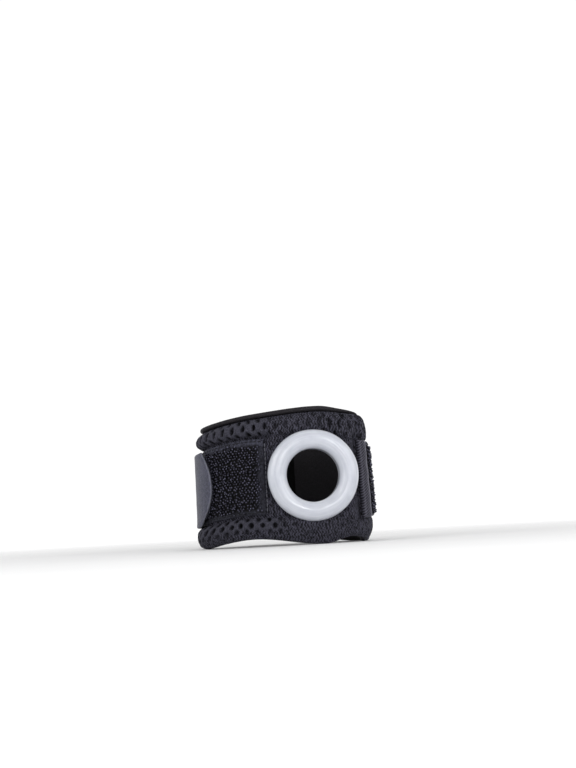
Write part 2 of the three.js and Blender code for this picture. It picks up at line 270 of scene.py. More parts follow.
def edge(column, along):
    """A column of EDGES at places along the loop, on a smooth line that is level at its highs and lows."""
    k = EDGE_COLUMNS.index(column)
    rows = np.array(sorted((row[0] % 1, row[k]) for row in EDGES))
    rows = np.concatenate([rows[-2:] - (1, 0), rows, rows[:2] + (1, 0)])
    places, values = rows.T
    width = np.diff(places)
    steep = np.diff(values) / width
    before, after = steep[:-1], steep[1:]
    together = np.where(before * after > 0, before + after, np.inf)
    slope = np.concatenate([[0], 2 * before * after / together, [0]])
    share = (along / LOOP) % 1
    i = np.searchsorted(places, share, side="right") - 1
    t = (share - places[i]) / width[i]
    lean = slope[i] * (1 - t) - slope[i + 1] * t
    return mix(values[i], values[i + 1], smooth(t)) + width[i] * t * (1 - t) * lean


def from_end(along):
    """Distance along the band from the nearer of its two ends on the palm side."""
    s = (along + HALF_LOOP) % LOOP
    return np.minimum(s, LOOP - s) - PALM_GAP / 2


def corner_drop(along):
    left = np.clip(END_CORNER - from_end(along), 0, END_CORNER)
    return END_CORNER - np.sqrt(END_CORNER**2 - left**2)


def end_taper(along):
    """1 along the band, falling to 0 at its two ends."""
    return np.sqrt(smooth((from_end(along) + END_BLUNT) / END_TAPER))


def lining_top(along):
    return edge("top", along) - corner_drop(along)


def bottom_edge(along):
    return edge("bottom", along) + corner_drop(along)


def mesh_top(along):
    return lining_top(along) - edge("rim", along)


def rim_out(along):
    return mix(LINING_THICK, edge("rim_out", along), end_taper(along))


def groove_out(along):
    """Face of the band in its groove: pressed flat under the tapes, free beside the ring."""
    past = (along - PANEL["to"]) % LOOP
    left = 1 - smooth(past / GROOVE_EASE)
    right = ramp(past, BINDING["from"] - PANEL["to"] - GROOVE_EASE, GROOVE_EASE)
    return mix(MESH_FREE, MESH_GROOVE, np.maximum(left, right))


def tape_seat(along):
    """Inner face of a tape that lies in the groove."""
    return groove_out(along) + GAP


def panel_top(along):
    return tape_seat(along) + PANEL["pile"]


def strap_inner(along):
    climbed = ramp(along, LOOP + PANEL["from"] - CLIMB, CLIMB - 1)
    return mix(tape_seat(along), panel_top(along) + GAP, climbed)


def wobble(a, b, scale, seed=0):
    """Soft even noise over two lengths, mostly from -1 to 1, the same on every run."""
    rng = np.random.default_rng(SEED + seed)
    total = 0
    for _ in range(7):
        turn, phase = rng.uniform(0, 2 * np.pi, 2)
        wave = rng.uniform(0.7, 1.5) * 2 * np.pi / scale
        total = total + np.sin(wave * (a * np.cos(turn) + b * np.sin(turn)) + phase)
    return total / 4


def flat_spot(along, out, up):
    """Places seen from above in millimetres, round the wrist's middle. The three arrays have one shape."""
    flared = out + FLARE * (FLARE_LEVEL - up)
    return skin_point(along) + skin_normal(along) * flared[..., None]


def loop_centre():
    """Middle of the wrist in the frame, found from the lining's box."""
    low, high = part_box("lining")
    along = np.linspace(PALM_GAP / 2 - HALF_LOOP, HALF_LOOP - PALM_GAP / 2, 1600)
    hem = flat_spot(along, np.full(len(along), LINING_THICK), bottom_edge(along))
    rim = flat_spot(along, rim_out(along), lining_top(along) - RIM_LIP * (edge("rim", along) - GAP))
    flat = np.concatenate([hem, rim])
    middle = (flat.min(0) + flat.max(0)) / 2
    return np.array([low.x + high.x, low.y + high.y]) / 2 / MM - middle


def corner_tuck(along, up):
    """How far the lower edge curls in at the band's right corner."""
    near = hump(along, TUCK_AROUND, TUCK_REACH)
    return TUCK_DEPTH * near * smooth((TUCK_HEIGHT - up) / TUCK_HEIGHT) ** 1.5


def spot(along, out, up):
    """Points in metres in the frame, from lengths that broadcast to one shape."""
    along, out, up = np.broadcast_arrays(along, out, up)
    flat = flat_spot(along, out - corner_tuck(along, up), up) + CENTRE
    return np.concatenate([flat, up[..., None]], -1) * MM


def mesh_object(name, points, faces, material, uv=None, values=None):
    """A smooth mesh piece that rides on the part. uv is in millimetres, values are named point attributes."""
    mesh = bpy.data.meshes.new(name)
    mesh.from_pydata(points.reshape(-1, 3).tolist(), [], [list(face) for face in faces])
    if uv is not None:
        corners = np.zeros(len(mesh.loops), np.int32)
        mesh.loops.foreach_get("vertex_index", corners)
        layer = mesh.uv_layers.new(name="UVMap")
        layer.data.foreach_set("uv", uv.reshape(-1, 2)[corners].astype(np.float32).ravel())
    for key, value in (values or {}).items():
        attribute = mesh.attributes.new(key, "FLOAT", "POINT")
        attribute.data.foreach_set("value", np.asarray(value, np.float32).ravel())
    mesh.polygons.foreach_set("use_smooth", np.ones(len(mesh.polygons), bool))
    mesh.materials.append(material)
    piece = bpy.data.objects.new(name, mesh)
    bpy.context.scene.collection.objects.link(piece)
    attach(piece, "root")
    return piece


def tube_sides(columns, rows):
    """Faces of a grid of columns by rows whose rows close on themselves."""
    i, j = np.meshgrid(np.arange(columns - 1), np.arange(rows), indexing="ij")
    k = (j + 1) % rows
    return np.stack([i * rows + j, (i + 1) * rows + j, (i + 1) * rows + k, i * rows + k], -1).reshape(-1, 4)


def tube_faces(columns, rows):
    """Faces of a closed tube of columns by rows, with a face over each end."""
    start = list(range(rows))
    end = list(range((columns - 1) * rows, columns * rows))
    return tube_sides(columns, rows).tolist() + [start, end[::-1]]


def sweep(name, along, out, up, material, values=None):
    """A closed section carried along the loop. The arrays are columns by points round the section."""
    along, out, up = np.broadcast_arrays(along, out, up)
    uv = np.stack([along, up], -1)
    return mesh_object(name, spot(along, out, up), tube_faces(*along.shape), material, uv, values)


def tape_section(half, thick, steps, rounds=5):
    """Heights across a tape and shares of its thickness, round its section from its lower outer corner."""
    flat = half - thick / 2
    turn = np.linspace(np.pi / 2, -np.pi / 2, rounds + 2)[1:-1]
    across = np.concatenate([
        np.linspace(-flat, flat, steps),
        flat + thick / 2 * np.cos(turn),
        np.linspace(flat, -flat, steps),
        -flat - thick / 2 * np.cos(turn),
    ])
    share = np.concatenate([np.ones(steps), (1 + np.sin(turn)) / 2, np.zeros(steps), (1 - np.sin(turn)) / 2])
    return across, share


def add(tree, kind, inputs=None, **settings):
    """A shader node with its settings, and its inputs as values or as links from sockets."""
    node = tree.nodes.new("ShaderNode" + kind)
    for key, value in settings.items():
        setattr(node, key, value)
    for key, value in (inputs or {}).items():
        if isinstance(value, bpy.types.NodeSocket):
            tree.links.new(value, node.inputs[key])
        else:
            node.inputs[key].default_value = value
    return node


def new_material(name):
    """A new material and its empty node tree."""
    material = bpy.data.materials.new(name)
    material.use_nodes = True
    material.node_tree.nodes.clear()
    return material, material.node_tree


def finish_material(material, inputs):
    """Gives a material its surface, and returns the material."""
    shader = add(material.node_tree, "BsdfPrincipled", inputs)
    add(material.node_tree, "OutputMaterial", {"Surface": shader.outputs["BSDF"]})
    return material


def finish_cloth(
    material, colour, normal, roughness, sheen, sheen_roughness=0.4, tint=CLOTH_SHEEN, specular=0.12
):
    """Matt cloth with a faint sheen on its fibres."""
    return finish_material(material, {
        "Base Color": colour,
        "Roughness": roughness,
        "Normal": normal,
        "Sheen Weight": sheen,
        "Sheen Roughness": sheen_roughness,
        "Sheen Tint": tint,
        "Specular IOR Level": specular,
    })


def blend_colours(tree, factor, dark, light):
    """Colour between two, by a socket's value."""
    node = add(tree, "Mix", {"Factor": factor}, data_type="RGBA")
    for socket, colour in ((node.inputs[6], dark), (node.inputs[7], light)):
        if isinstance(colour, bpy.types.NodeSocket):
            tree.links.new(colour, socket)
        else:
            socket.default_value = (*colour, 1)
    return node.outputs[2]


def place_on(tree, kind):
    """Where a point lies: Object in metres, UV in millimetres, Generated as a direction in the surround."""
    return add(tree, "TexCoord").outputs[kind]


def point_value(tree, name):
    """A point attribute of the mesh."""
    return add(tree, "Attribute", attribute_name=name).outputs["Fac"]


def stretched(tree, kind, scale, rotation=(0, 0, 0)):
    """Where a point lies, scaled and turned."""
    inputs = {"Vector": place_on(tree, kind), "Scale": scale, "Rotation": rotation}
    return add(tree, "Mapping", inputs).outputs["Vector"]


def grain(tree, size, detail=3.0, rough=0.6):
    """Noise with features of a size in millimetres."""
    scale = 1 / (size * MM)
    inputs = {"Vector": place_on(tree, "Object"), "Scale": scale, "Detail": detail, "Roughness": rough}
    return add(tree, "TexNoise", inputs).outputs["Fac"]


def spread(tree, value, low, high, to_low=0, to_high=1):
    """A socket's value stretched from one range to another, and kept within it."""
    inputs = {"Value": value, "From Min": low, "From Max": high, "To Min": to_low, "To Max": to_high}
    return add(tree, "MapRange", inputs, clamp=True).outputs["Result"]


def ribs(tree, pitch, turn_degrees, waver=0.4):
    """Fine ribs at a pitch in millimetres, turned from the loop's direction."""
    turned = stretched(tree, "UV", (1 / pitch,) * 3, (0, 0, np.radians(turn_degrees)))
    inputs = {"Vector": turned, "Scale": 0.318, "Distortion": waver, "Detail": 1.0}
    return add(tree, "TexWave", inputs, bands_direction="Y").outputs["Fac"]


def relief(tree, height, depth, below=None):
    """Bump of a depth in millimetres, on another bump if one is given."""
    inputs = {"Height": height, "Distance": depth * MM, "Strength": 1.0}
    if below is not None:
        inputs["Normal"] = below
    return add(tree, "Bump", inputs).outputs["Normal"]


def squiggles(tree, size):
    """Short wavering strokes of a size in millimetres, longer up than across."""
    scale = 1 / (size * MM)
    places = stretched(tree, "Object", (scale, scale, 0.6 * scale))
    inputs = {"Vector": places, "Scale": 1.0, "Detail": 1.0, "Distortion": 0.8}
    return add(tree, "TexNoise", inputs).outputs["Fac"]


def herringbone(tree, pitch, row):
    """Slanted strokes at a pitch in millimetres, which change their slant from row to row."""
    one_way = ribs(tree, pitch, 62, 1.2)
    other_way = ribs(tree, pitch, -62, 1.2)
    rows = spread(tree, ribs(tree, row, 0, 1.5), 0.4, 0.6)
    return add(tree, "Mix", {"Factor": rows, "A": one_way, "B": other_way}).outputs["Result"]


def darken_holes(tree, colour):
    """Colour with painted shade: near black in holes, creases and under pile; also darker on tape borders."""
    return blend_colours(tree, point_value(tree, "hole"), colour, HOLE_BLACK)


def mesh_cloth():
    """Knitted open mesh: smooth dark ribs, squiggled where it is pressed shut, with painted shade near black
    in the holes.
    """
    material, tree = new_material("mesh_cloth")
    yarn = grain(tree, 0.6, 4.0, 0.7)
    stitch = herringbone(tree, 0.95, 1.7)
    loose = spread(tree, squiggles(tree, 0.55), 0.36, 0.64)
    stroke = add(tree, "Mix", {"Factor": 0.55, "A": stitch, "B": loose}).outputs["Result"]
    pressed = point_value(tree, "pressed")
    plain = blend_colours(tree, spread(tree, yarn, 0.3, 0.75), *MESH_YARN)
    knit = blend_colours(tree, spread(tree, stroke, 0.28, 0.72), *MESH_KNIT)
    colour = darken_holes(tree, blend_colours(tree, spread(tree, pressed, 0.1, 0.6), plain, knit))
    normal = relief(tree, yarn, 0.25, relief(tree, stroke, 0.3))
    return finish_cloth(material, colour, normal, 0.7, sheen=0.04, sheen_roughness=0.45, tint=MESH_SHEEN)


def plain_cloth(name, colours, pitch, turn, roughness, sheen, depth=0.05):
    """Fine ribbed or woven cloth between two colours."""
    material, tree = new_material(name)
    fibre = grain(tree, 0.5, 4.0, 0.65)
    weave = ribs(tree, pitch, turn)
    shade = add(tree, "Math", {0: spread(tree, fibre, 0.3, 0.75), 1: weave}, operation="MULTIPLY")
    colour = blend_colours(tree, shade.outputs[0], *colours)
    normal = relief(tree, weave, depth, relief(tree, fibre, depth * 0.8))
    return finish_cloth(material, colour, normal, roughness, sheen)


def knitted_ground():
    """Ground of the loop tapes: fine wavering strokes, with painted shade near black where it lies under
    pile.
    """
    material, tree = new_material("tape_ground")
    stroke = squiggles(tree, 0.5)
    fibre = grain(tree, 0.4, 4.0, 0.65)
    shade = spread(tree, stroke, 0.32, 0.66)
    colour = darken_holes(tree, blend_colours(tree, shade, *TAPE_GROUND))
    normal = relief(tree, stroke, 0.25, relief(tree, fibre, 0.1))
    return finish_cloth(material, colour, normal, 0.6, sheen=0.06, tint=TAPE_SHEEN)


def twill_tape():
    """Folded binding tape with fine steep ribs, and a painted highlight along its outer fold."""
    material, tree = new_material("twill_tape")
    rib = ribs(tree, 0.75, -42, 1.4)
    fibre = grain(tree, 0.35, 4.0, 0.65)
    # Painted highlight: paler colour where the fold turns to the light
    painted_highlight = point_value(tree, "painted_highlight")
    colour = blend_colours(tree, spread(tree, rib, 0.1, 0.9), *TWILL_RIBS)
    pale = blend_colours(tree, spread(tree, fibre, 0.3, 0.7), *TWILL_HIGHLIGHT)
    colour = blend_colours(tree, painted_highlight, colour, pale)
    normal = relief(tree, rib, 0.12, relief(tree, fibre, 0.12))
    return finish_cloth(material, colour, normal, 0.55, sheen=0.1)


def pile_thread():
    """Dark nylon of the loops, with a painted highlight on top of each and painted shade towards its feet."""
    material, tree = new_material("pile_thread")
    colour = blend_colours(tree, point_value(tree, "shade"), *PILE_SHADE_TO_HIGHLIGHT)
    normal = relief(tree, grain(tree, 0.18), 0.04)
    return finish_cloth(material, colour, normal, 0.42, sheen=0)


def tab_felt():
    """Grey hook tape seen from its felted back, paler along its cut edge: frayed fibres and a painted
    highlight.
    """
    material, tree = new_material("tab_felt")
    fibre = grain(tree, 0.8, 5.0, 0.75)
    patches = grain(tree, 2.6)
    edge_fibres_and_highlight = point_value(tree, "edge")
    colour = blend_colours(tree, spread(tree, fibre, 0.4, 0.62), *TAB_FIBRES)
    colour = blend_colours(tree, spread(tree, patches, 0.4, 0.9), colour, TAB_PATCHES)
    # Pale edge: frayed fibres, with a painted highlight where the rounded edge catches the light
    colour = blend_colours(tree, edge_fibres_and_highlight, colour, TAB_EDGE_FIBRES_AND_HIGHLIGHT)
    normal = relief(tree, fibre, 0.16, relief(tree, patches, 0.1))
    return finish_cloth(
        material, colour, normal, 0.6, sheen=0.12, sheen_roughness=0.5, tint=WHITE, specular=0.35
    )


def ring_silicone():
    """Pale milky silicone with faint streaks round it."""
    material, tree = new_material("ring_silicone")
    inputs = {"Vector": stretched(tree, "UV", (0.05, 1.6, 1)), "Scale": 1.0, "Detail": 3.0}
    streaks = add(tree, "TexNoise", inputs).outputs["Fac"]
    cloud = grain(tree, 4.0, 2.0)
    colour = blend_colours(tree, spread(tree, cloud, 0.3, 0.7), *SILICONE)
    colour = blend_colours(tree, spread(tree, streaks, 0.45, 0.85), colour, SILICONE_STREAKS)
    normal = relief(tree, streaks, 0.008, relief(tree, grain(tree, 0.4), 0.002))
    return finish_material(material, {
        "Base Color": colour,
        "Roughness": 0.14,
        "Normal": normal,
        "Subsurface Weight": 0.25,
        "Subsurface Radius": (1.0, 1.0, 1.1),
        "Subsurface Scale": 0.0015,
        "Specular IOR Level": 0.45,
        "Coat Weight": 0.35,
        "Coat Roughness": 0.1,
    })


def ring_axes():
    """Centre of the ring on the skin line, and its directions along the loop and out."""
    out = out_direction(RING_AROUND)
    return spot(RING_AROUND, 0, RING_HEIGHT), np.cross(UP, -out), out


def ring_radius(points):
    """Distance of points from the ring's axis, in millimetres."""
    centre, right, _ = ring_axes()
    away = points - centre
    return np.hypot(away @ right, away @ UP) / MM


def ring_profile(steps=44):
    """Radius and height of the ring's section, round it from the collar's inner end."""
    middle = (RING_OUTER + RING_HOLE) / 2
    half = (RING_OUTER - RING_HOLE) / 2
    drop = np.arcsin((RING_MIDDLE - RING_BASE) / RING_HALF_THICK)
    turn = np.linspace(-drop, np.pi, steps)
    inner = np.linspace(RING_MIDDLE, 0.4, 7)[1:]
    foot = np.array([
        (RING_HOLE + 0.12, 0.1),
        (RING_HOLE + 0.6, 0),
        (RING_COLLAR - COLLAR_ROUND, 0),
        (RING_COLLAR, COLLAR_ROUND),
        (RING_COLLAR, RING_BASE),
    ])
    radius = np.concatenate([foot[:, 0], middle + half * np.cos(turn), np.full(len(inner), RING_HOLE)])
    height = np.concatenate([foot[:, 1], RING_MIDDLE + RING_HALF_THICK * np.sin(turn), inner])
    return radius, height


def make_ring(material):
    radius, height = ring_profile()
    centre, right, out = ring_axes()
    turn = np.arange(RING_SIDES + 1) / RING_SIDES * 2 * np.pi
    waver = 1 + 0.0025 * np.sin(3 * turn + 0.6) + 0.0015 * np.sin(7 * turn)
    reach = radius[None, :] * waver[:, None]
    rise = height[None, :] + 0.05 * np.sin(2 * turn + 1)[:, None] * (height > RING_BASE)
    points = (
        centre
        + (reach * np.cos(turn)[:, None])[..., None] * right * MM
        + (reach * np.sin(turn)[:, None])[..., None] * UP * MM
        + rise[..., None] * out * MM
    )
    uv = np.stack(np.broadcast_arrays(turn[:, None] * RING_OUTER, path_length(radius, height)[None, :]), -1)
    faces = tube_sides(RING_SIDES + 1, len(radius))
    piece = mesh_object("silicone_ring", points, faces, material, uv)
    weld = piece.modifiers.new("weld", "WELD")
    weld.merge_threshold = 1e-6
    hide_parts("ring")


def band_places(step):
    """Places along the band, closer together at its rounded ends."""
    end = HALF_LOOP - PALM_GAP / 2
    near = np.array(END_PLACES)
    middle = np.linspace(-end + END_ZONE, end - END_ZONE, int(2 * (end - END_ZONE) / step))
    return np.concatenate([-end + near, middle, (end - near)[::-1]])


def cut_round_hole(piece, radius):
    """Cuts the hole that the ring's collar goes through."""
    centre, _, out = ring_axes()
    bpy.ops.mesh.primitive_cylinder_add(vertices=96, radius=radius * MM, depth=24 * MM)
    cutter = bpy.context.active_object
    cutter.rotation_euler = Vector(out).to_track_quat("Z", "Y").to_euler()
    cutter.location = Vector(centre)
    cut = piece.modifiers.new("ring_hole", "BOOLEAN")
    cut.operation = "DIFFERENCE"
    cut.solver = "EXACT"
    cut.object = cutter
    bpy.context.view_layer.update()
    evaluated = piece.evaluated_get(bpy.context.evaluated_depsgraph_get())
    piece.data = bpy.data.meshes.new_from_object(evaluated)
    piece.modifiers.clear()
    bpy.data.objects.remove(cutter)


def squarish(wave):
    """A sine or cosine made squarer, for a flattened bead."""
    return np.sign(wave) * np.abs(wave) ** 0.8


def lining_section(along, wall=16, rounds=17):
    """Round the lining's section at places along the loop: heights and distances out."""
    bead = (edge("rim", along) - GAP) / 2
    low = bottom_edge(along) + 0.2
    high = lining_top(along)
    turn = np.linspace(-0.8 * np.pi, np.pi, rounds)[None, :]
    climb = np.linspace(0, 1, wall)[None, :]
    outer = mix(low, high - 2 * bead - 0.05, climb)
    rolled = high + bead * (squarish(np.sin(turn)) - 1)
    inner = mix(high - bead - 0.2, low, climb)
    bead_out = rim_out(along) / 2 * (1 + squarish(np.cos(turn)))
    up = np.concatenate([outer, rolled, inner], 1)
    out = np.concatenate([0 * outer + LINING_THICK, bead_out, 0 * inner], 1)
    return up, out


def make_lining(material):
    along = band_places(0.7)[:, None]
    up, out = lining_section(along)
    ripple = LINING_RIPPLE * wobble(along, up, 9, 3) * (out > 0.4)
    piece = sweep("lining_cloth", along, out + ripple, up, material)
    cut_round_hole(piece, RING_COLLAR + GAP)
    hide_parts("lining")


def outer_length(along):
    """Length along the band's outer face, which is longer than the skin line by the turn of its corners."""
    table = np.linspace(-HALF_LOOP, HALF_LOOP, 2000)
    normal = skin_normal(table)
    turn = np.unwrap(np.arctan2(normal[:, 1], normal[:, 0]))
    return along + MESH_FREE * np.interp(along, table, turn)


def puff_out(share, crest, groove):
    base = mix(MESH_EDGE, groove, share)
    bulge = crest - (MESH_EDGE + groove) / 2
    return base + bulge * np.sqrt(np.clip(4 * share * (1 - share), 0, 1))


def roll_shares(count):
    """Shares from the edge of a roll to the groove, even along its round face."""
    turn = np.linspace(0, np.pi, count)
    return mix((1 - np.cos(turn)) / 2, np.linspace(0, 1, count), 0.35)


def mesh_face(along):
    """Heights, distances out and roll shares over the band's outer face, from its lower to its upper edge."""
    middle = edge("strap", along)
    groove = groove_out(along)
    low = roll_shares(44)[None, :]
    high = roll_shares(40)[None, ::-1]
    flat = np.linspace(0, 1, 38)[None, 1:-1]
    ups = [
        mix(bottom_edge(along), middle - GROOVE_HALF, low),
        mix(middle - GROOVE_HALF, middle + GROOVE_HALF, flat),
        mix(mesh_top(along), middle + GROOVE_HALF, high),
    ]
    outs = [
        puff_out(low, edge("lower_roll", along), groove),
        groove + 0 * flat,
        puff_out(high, edge("upper_roll", along), groove),
    ]
    shares = [low + 0 * along, 1 + 0 * flat + 0 * along, high + 0 * along]
    out = mix(MESH_END, np.concatenate(outs, 1), end_taper(along))
    return np.concatenate(ups, 1), out, np.concatenate(shares, 1)


def face_length(up, out):
    """Length up the face, taken at the left front so that the rows of holes run with the band's edges."""
    column = len(up) // 3
    return path_length(up[column], out[column])[None, :]


def chance(a, b, seed):
    """A value from 0 to 1 for each pair of whole numbers, the same on every run."""
    return (np.sin(a * 12.9898 + b * 78.233 + seed * 3.7) * 43758.5453) % 1


def by_roll(upper, table):
    """The upper or the lower roll's value of a table, place by place."""
    return np.where(upper, table["upper"], table["lower"])


def row_reach(x, y, row, upper, lower_lean):
    """Distance from the nearest hole's middle in a row, as a share of the hole's half size."""
    odd = row % 2
    dy = y - row * by_roll(upper, HOLE_ROW)
    lean = np.where(upper, mix(HOLE_LEAN["even"], HOLE_LEAN["odd"], odd), lower_lean)
    dx = x - odd * HOLE_PITCH / 2 - lean * dy
    column = np.round(dx / HOLE_PITCH)
    size = mix(*HOLE_SIZES, chance(column, row, 1))
    dx = dx - column * HOLE_PITCH + mix(-HOLE_SHIFT, HOLE_SHIFT, chance(column, row, 2))
    return np.hypot(dx / by_roll(upper, HOLE_HALF_WIDE), dy / by_roll(upper, HOLE_HALF_TALL)) / size


def hole_reach(along, rise, top):
    """Distance from the nearest hole's middle in any row, as a share of the hole's half size."""
    upper = rise > top / 2
    x = outer_length(along) + 0.35 * wobble(along, rise, 14, 1)
    from_edge = np.where(upper, top - rise, rise) - by_roll(upper, HOLE_FIRST_ROW)
    y = from_edge + 0.25 * wobble(along, rise, 11, 2)
    lower_lean = HOLE_LOWER_LEAN * ramp(-along, 14, 14)
    row = np.round(y / by_roll(upper, HOLE_ROW))
    return np.minimum.reduce([row_reach(x, y, row + near, upper, lower_lean) for near in (-1, 0, 1)])


def near_ring(along, upper):
    """1 where the ring and the strap's end press the upper or the lower roll."""
    pressed = ramp(along, by_roll(upper, PRESS_FROM), PRESS_EASE_IN)
    return pressed * (1 - ramp(along, PRESS_TO, PRESS_EASE_OUT))


def openness(along, rise, share):
    """How far the mesh is stretched open: full on the left, nearly shut where the ring presses it."""
    upper = rise >= rise.max() / 2
    shut_above = mix(*SHUT_UPPER, ramp(along, 9, 8))
    shut = np.where(upper, shut_above, SHUT_LOWER) * near_ring(along, upper)
    groove = 1 - SHUT_IN_GROOVE * ramp(share, 0.9, 0.1)
    hem = np.where(upper, 1, mix(OPEN_AT_HEM, 1, ramp(rise, 3, 4)))
    return np.clip(1 - shut + 0.2 * wobble(along, rise, 7, 5), LEAST_OPEN, 1) * groove * hem


def mesh_relief(along, rise, share):
    """How far the knitted face stands out, the painted shade of holes and creases, and how far it is pressed
    shut.
    """
    top = rise.max()
    fade = smooth(share / 0.12)
    reach = hole_reach(along, rise, top)
    opened = openness(along, rise, share) * fade
    dent = 1 - ramp(reach, 0.65, 0.55)
    crown = HOLE_CROWN * ramp(reach, 1.0, 0.8)
    lumps = 0.16 * wobble(along, rise, 8, 8) + 0.07 * wobble(along, rise, 1.6, 9)
    crease = binding_crease(along, rise, top)
    raised = (crown + lumps + folds(along, rise, top)) * fade
    standing = raised - HOLE_DEPTH * dent * opened - CREASE_DEPTH * crease
    shoulder = mix(1.22, 1.5, ramp(-along, 20, 20))
    # Painted shade: the colour goes towards black in the holes' depths and in the crease by the binding
    hole = np.maximum(smooth((shoulder - reach) / 0.4) * opened, 0.75 * crease)
    pressed = np.maximum(1 - opened, near_ring(along, rise >= top / 2))
    return standing, {"hole": hole, "pressed": pressed}


def open_under_ring(points, faces):
    """Leaves out the faces that the ring's collar goes through."""
    under_ring = (ring_radius(points) < RING_COLLAR + 1.4) & (points[:, 1] < 0)
    return [face for face in faces if not under_ring[face].all()]


def make_mesh_cover(material):
    along = band_places(0.3)[:, None]
    up, out, share = mesh_face(along)
    rise = face_length(up, out)
    standing, values = mesh_relief(along, rise, share)
    out = seat_ring(along, out + standing, up)
    back = mix(mesh_top(along), bottom_edge(along), np.linspace(0, 1, 26)[None, :])
    up = np.concatenate([up, back], 1)
    out = np.concatenate([out, np.full(back.shape, MESH_INNER)], 1)
    values = {key: np.concatenate([value, np.zeros(back.shape)], 1) for key, value in values.items()}
    lengths = np.concatenate([rise + 0 * along, back], 1)
    uv = np.stack(np.broadcast_arrays(outer_length(along), lengths), -1)
    points = spot(along, out, up).reshape(-1, 3)
    faces = open_under_ring(points, tube_faces(*up.shape))
    piece = mesh_object("mesh_cover", points, faces, material, uv, values)
    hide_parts("mesh_band")


def folds(along, rise, top):
    """Creases that the straps pull in the band: ripples under the ring, and a pinch at the upper right."""
    lower = ramp(along, 4, 8) * (1 - ramp(along, 34, 6)) * (1 - ramp(rise, 8, 6))
    ripples = RIPPLE_HEIGHT * np.sin(2 * np.pi * along / RIPPLE_PITCH + wobble(along, rise, 6, 12))
    upper = ramp(rise, top - 13, 5)
    pinch = sum(height * hump(along, place, half_width) for place, half_width, height in PINCHES)
    return ripples * lower + pinch * upper


def binding_crease(along, rise, top):
    """1 in the fold where the band goes under the strap's binding, which is sunk there and given painted
    shade.
    """
    in_groove = ramp(rise, 9, 2) * (1 - ramp(rise, top - 10, 2))
    return hump(along, BINDING["from"] - CREASE_HALF_WIDTH, CREASE_HALF_WIDTH) * in_groove


def seat_ring(along, out, up):
    """Presses the band in round the ring."""
    radius = ring_radius(spot(along, out, up))
    front = np.abs(((along - RING_AROUND + HALF_LOOP) % LOOP) - HALF_LOOP) < 30
    valley = SEAT_DEPTH * hump(radius, RING_OUTER, SEAT_HALF_WIDTH)
    under = np.where(radius < RING_OUTER - 1, np.minimum(out, RING_BASE - 0.2), out - valley)
    return np.where(front, under, out)


def under_pile(tape, along, across):
    """1 where pile stands over a tape's ground, as painted shade there, and at least half that below its
    upper border.
    """
    ragged = 0.5 * wobble(along, across, 2.6, 40)
    above = smooth((tape["half"] - tape["border"] - across + ragged) / PILE_FADE + 0.5)
    below = smooth((across + tape["half"] - tape["lower_border"] + ragged) / PILE_FADE + 0.5)
    end = tape["to"] - tape.get("bare", tape["border"])
    hidden = above * below * smooth((end - along + ragged) / PILE_FADE + 0.5)
    upper_border = smooth(across - tape["half"] + tape["border"] + 0.5)
    return np.maximum(hidden, 0.5 * (1 - upper_border))


def tape_base(name, tape, material, inner, step=0.45):
    """Knitted ground of a loop tape, with rounded edges. inner gives the height of its inner face."""
    across, share = tape_section(tape["half"], tape["base"], 60)
    along = np.linspace(tape["from"], tape["to"], int((tape["to"] - tape["from"]) / step))[:, None]
    up = edge("strap", along) + across
    thick = tape["base"] * mix(1, 0.5, ramp(along, tape["to"] - 2, 2))
    lumps = 0.07 * wobble(along, across, 1.5, 41) * share
    out = inner(along) + share * thick + lumps
    # Painted shade on the ground under the pile, by its hole value
    return sweep(name, along, out, up, material, {"hole": under_pile(tape, along, across)})


def scatter(tape, rng):
    """Jittered places over the pile of a tape, thinning out at its borders: along and across."""
    line = LOOP_SPACING * 0.866
    low = tape["lower_border"] - tape["half"] - PILE_FADE / 3
    high = tape["half"] - tape["border"] + PILE_FADE / 3
    end = tape["to"] - tape.get("bare", tape["border"] - 1.2)
    rows = np.arange(low, high, line)
    columns = np.arange(tape["from"] + 0.4, end, LOOP_SPACING)
    across, along = np.meshgrid(rows, columns, indexing="ij")
    along = along + (np.arange(len(rows)) % 2)[:, None] * LOOP_SPACING / 2
    jitter = rng.uniform(-LOOP_JITTER, LOOP_JITTER, (2, *along.shape))
    along, across = along + jitter[0], across + jitter[1]
    inside = np.minimum(np.minimum(across - low, high - across), end - along)
    kept = rng.uniform(0, 1, along.shape) < 0.2 + inside / PILE_FADE
    return along[kept], across[kept]


def round_thread(sides):
    """Angles round a thread, shaped for threads by places along them by sides."""
    return np.linspace(0, 2 * np.pi, sides, endpoint=False)[None, None, :, None]


def loop_axes(along, rng):
    """Directions of hoops across their width and up from their feet, each turned and leaned its own way."""
    normal = out_direction(along)
    turn = rng.uniform(0, np.pi, len(along))[:, None]
    level = np.cross(UP, -normal) * np.cos(turn) + UP * np.sin(turn)
    lean = rng.uniform(-LOOP_LEAN, LOOP_LEAN, len(along))[:, None]
    return level, normal * np.cos(lean) + np.cross(normal, level) * np.sin(lean)


